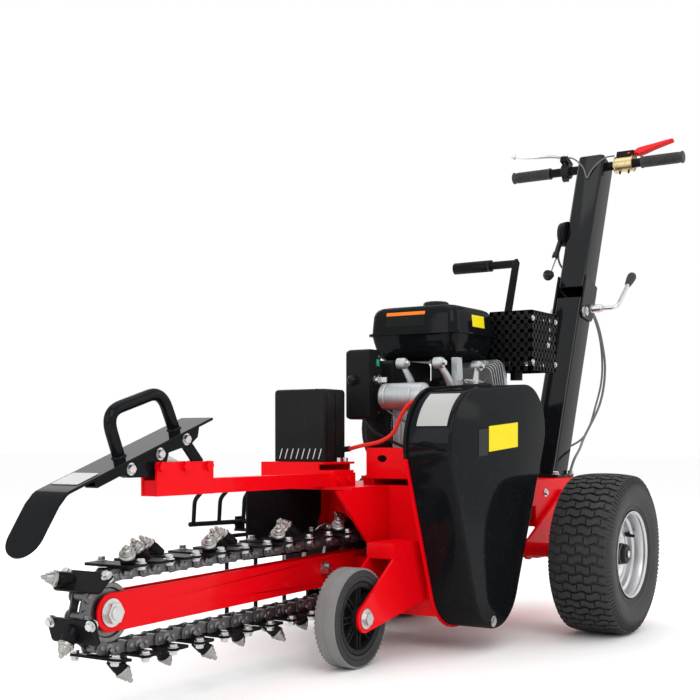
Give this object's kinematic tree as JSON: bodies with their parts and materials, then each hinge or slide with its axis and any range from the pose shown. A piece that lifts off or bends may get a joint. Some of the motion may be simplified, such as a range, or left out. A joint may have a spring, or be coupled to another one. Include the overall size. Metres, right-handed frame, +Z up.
{
  "type": "walk-behind trencher",
  "caption": "Walk-behind petrol chain trencher with digging boom, crumber, belt guard, two drive wheels on a depth carriage and folding steering column.",
  "frame": {"origin": "centre of the footprint box, on the ground", "axes": "+X from the boom's nose towards the operator's handlebar, +Y towards the spoil cage side, +Z up"},
  "size_m": [2.1173, 0.91, 1.3098],
  "materials": {
    "red_paint": "gloss powder coat",
    "red_enamel": "gloss enamel on a pressed lever",
    "black_paint": "satin powder coat",
    "black_gloss_paint": "high gloss paint",
    "black_satin_paint": "fine textured paint",
    "grey_paint": "silver grey wheel paint",
    "black_plastic": "moulded, fine texture",
    "orange_plastic": "moulded",
    "tyre_rubber": "moulded tread rubber",
    "tread_grey": "worn solid rubber",
    "grip_rubber": "ribbed grip rubber",
    "belt_rubber": "belt rubber",
    "zinc_steel": "zinc plated",
    "bright_steel": "turned",
    "polished_steel": "polished",
    "bare_iron": "cast and machined",
    "chain_steel": "oiled chain steel",
    "black_steel": "blackened forged steel",
    "tooth_steel": "carbide tipped forged steel",
    "cast_aluminium": "die cast",
    "cable_sheath": "flexible sheath",
    "lead_red": "insulated lead"
  },
  "bodies": {
    "frame": {"frame_weldment": "red_paint", "rear_loop": "red_paint", "engine_base": "red_paint", "battery_tray": "red_paint", "battery": "black_plastic", "battery_cover": "black_plastic", "belt_guard": "black_gloss_paint", "pins_and_bolts": "zinc_steel", "drive_belts": "belt_rubber", "head_bearings": "bare_iron", "boom_bar": "red_paint", "digging_chain": "chain_steel", "tooth_plates": "black_steel", "bullet_teeth": "tooth_steel", "upper_cage": "black_paint", "lower_cage": "black_paint", "spoil_skirts": "black_paint", "column_lower": "black_paint", "engine_block": "cast_aluminium", "fan_housing": "black_satin_paint", "recoil_cover": "black_satin_paint", "fuel_tank": "black_gloss_paint", "air_cleaner": "black_plastic", "muffler_guard": "black_satin_paint", "control_box": "black_plastic", "starter_motor": "cast_aluminium", "starter_lead": "lead_red", "control_cables": "cable_sheath"},
    "head_drive": {"head_shaft": "bright_steel", "driven_pulley": "bare_iron", "head_sprocket": "bare_iron", "spoil_auger": "bare_iron"},
    "idler": {"belt_idler": "bare_iron"},
    "engine_shaft": {"crankshaft": "bright_steel", "clutch_drum": "bare_iron"},
    "nose_wheel": {"nose_roller": "bare_iron"},
    "carriage": {"axle_carriage": "red_paint", "depth_lever": "black_paint"},
    "left_wheel": {"tyre_left": "tyre_rubber", "rim_left": "grey_paint"},
    "right_wheel": {"tyre_right": "tyre_rubber", "rim_right": "grey_paint"},
    "small_wheel": {"support_tyre": "tread_grey", "support_hub": "black_plastic"},
    "column_top": {"column_upper": "black_paint", "handlebar": "black_paint", "bar_brackets": "black_paint", "bar_grips": "grip_rubber"},
    "column_lock": {"lock_crank": "zinc_steel"},
    "clutch_hand_lever": {"clutch_lever": "polished_steel"},
    "latch_hand_lever": {"latch_lever": "red_enamel"},
    "throttle": {"throttle_lever": "black_plastic"},
    "crumber_arm": {"side_beam": "red_paint"},
    "crumber": {"crumber_blade": "black_paint", "crumber_handle": "black_paint", "crumber_links": "zinc_steel"},
    "tank_cap": {"fuel_cap": "black_plastic"},
    "key": {"ignition_key": "polished_steel"},
    "starter_pull": {"recoil_grip": "grip_rubber"},
    "oil_filler": {"oil_cap": "orange_plastic"}
  },
  "joints": [
    {"name": "head_spin", "type": "hinge", "parent": "frame", "child": "head_drive", "pos_m": [0.003, 0.005, 0.18], "axis": [0, 1, 0], "continuous": true},
    {"name": "idler_spin", "type": "hinge", "parent": "frame", "child": "idler", "pos_m": [-0.087, -0.231, 0.44], "axis": [0, 1, 0], "continuous": true},
    {"name": "crank_spin", "type": "hinge", "parent": "frame", "child": "engine_shaft", "pos_m": [0.158, -0.195, 0.48], "axis": [0, 1, 0], "continuous": true},
    {"name": "nose_spin", "type": "hinge", "parent": "frame", "child": "nose_wheel", "pos_m": [-0.86385, 0.03, 0.16396], "axis": [0, 1, 0], "continuous": true},
    {"name": "carriage_swing", "type": "hinge", "parent": "frame", "child": "carriage", "pos_m": [0.583, -0.062, 0.3], "axis": [0, -1, 0], "range_deg": [-15, 12]},
    {"name": "left_wheel_spin", "type": "hinge", "parent": "carriage", "child": "left_wheel", "pos_m": [0.368, -0.38, 0.1875], "axis": [0, 1, 0], "continuous": true},
    {"name": "right_wheel_spin", "type": "hinge", "parent": "carriage", "child": "right_wheel", "pos_m": [0.368, 0.19, 0.1875], "axis": [0, 1, 0], "continuous": true},
    {"name": "small_wheel_spin", "type": "hinge", "parent": "frame", "child": "small_wheel", "pos_m": [-0.324, -0.115, 0.0995], "axis": [0, 1, 0], "continuous": true},
    {"name": "column_fold", "type": "hinge", "parent": "frame", "child": "column_top", "pos_m": [0.8201, -0.1, 0.80911], "axis": [0, -1, 0], "range_deg": [0, 95], "deforming": ["control_cables"]},
    {"name": "lock_turn", "type": "hinge", "parent": "column_top", "child": "column_lock", "pos_m": [0.8582, -0.18, 0.81918], "axis": [0, 1, 0], "continuous": true},
    {"name": "clutch_squeeze", "type": "hinge", "parent": "column_top", "child": "clutch_hand_lever", "pos_m": [1.00069, -0.011, 1.27643], "axis": [0.3567, 0, 0.9342], "range_deg": [-16, 0], "stiffness_Nm_per_rad": 2, "springref_deg": 17.19},
    {"name": "latch_press", "type": "hinge", "parent": "column_top", "child": "latch_hand_lever", "pos_m": [1.02232, -0.202, 1.27139], "axis": [0.9342, 0, -0.3567], "range_deg": [0, 12], "stiffness_Nm_per_rad": 2, "springref_deg": -17.19},
    {"name": "throttle_turn", "type": "hinge", "parent": "column_top", "child": "throttle", "pos_m": [0.90577, -0.046, 1.04186], "axis": [0, 1, 0], "range_deg": [0, 70]},
    {"name": "crumber_slide", "type": "slide", "parent": "frame", "child": "crumber_arm", "axis": [1, 0, 0], "range_m": [-0.06, 0.03]},
    {"name": "crumber_tilt", "type": "hinge", "parent": "crumber_arm", "child": "crumber", "pos_m": [-0.74985, 0.025, 0.406], "axis": [0, 1, 0], "range_deg": [-12, 0]},
    {"name": "fuel_cap_turn", "type": "hinge", "parent": "frame", "child": "tank_cap", "pos_m": [0.242, 0.005, 0.787], "axis": [0, 0, 1], "continuous": true},
    {"name": "key_turn", "type": "hinge", "parent": "frame", "child": "key", "pos_m": [0.012, 0.015, 0.59], "axis": [0, 1, 0], "range_deg": [0, 60]},
    {"name": "starter_cord", "type": "slide", "parent": "frame", "child": "starter_pull", "axis": [0, 1, 0], "range_m": [0, 0.5], "stiffness_N_per_m": 30, "springref_m": -0.05},
    {"name": "oil_cap_turn", "type": "hinge", "parent": "frame", "child": "oil_filler", "pos_m": [0.258, -0.003, 0.41], "axis": [1, 0, 0], "continuous": true}
  ],
  "couplings": [
    {"joint": "crank_spin", "follows": "head_spin", "ratio": 1.3226},
    {"joint": "idler_spin", "follows": "head_spin", "ratio": 1.7826},
    {"joint": "nose_spin", "follows": "head_spin", "ratio": 1}
  ]
}
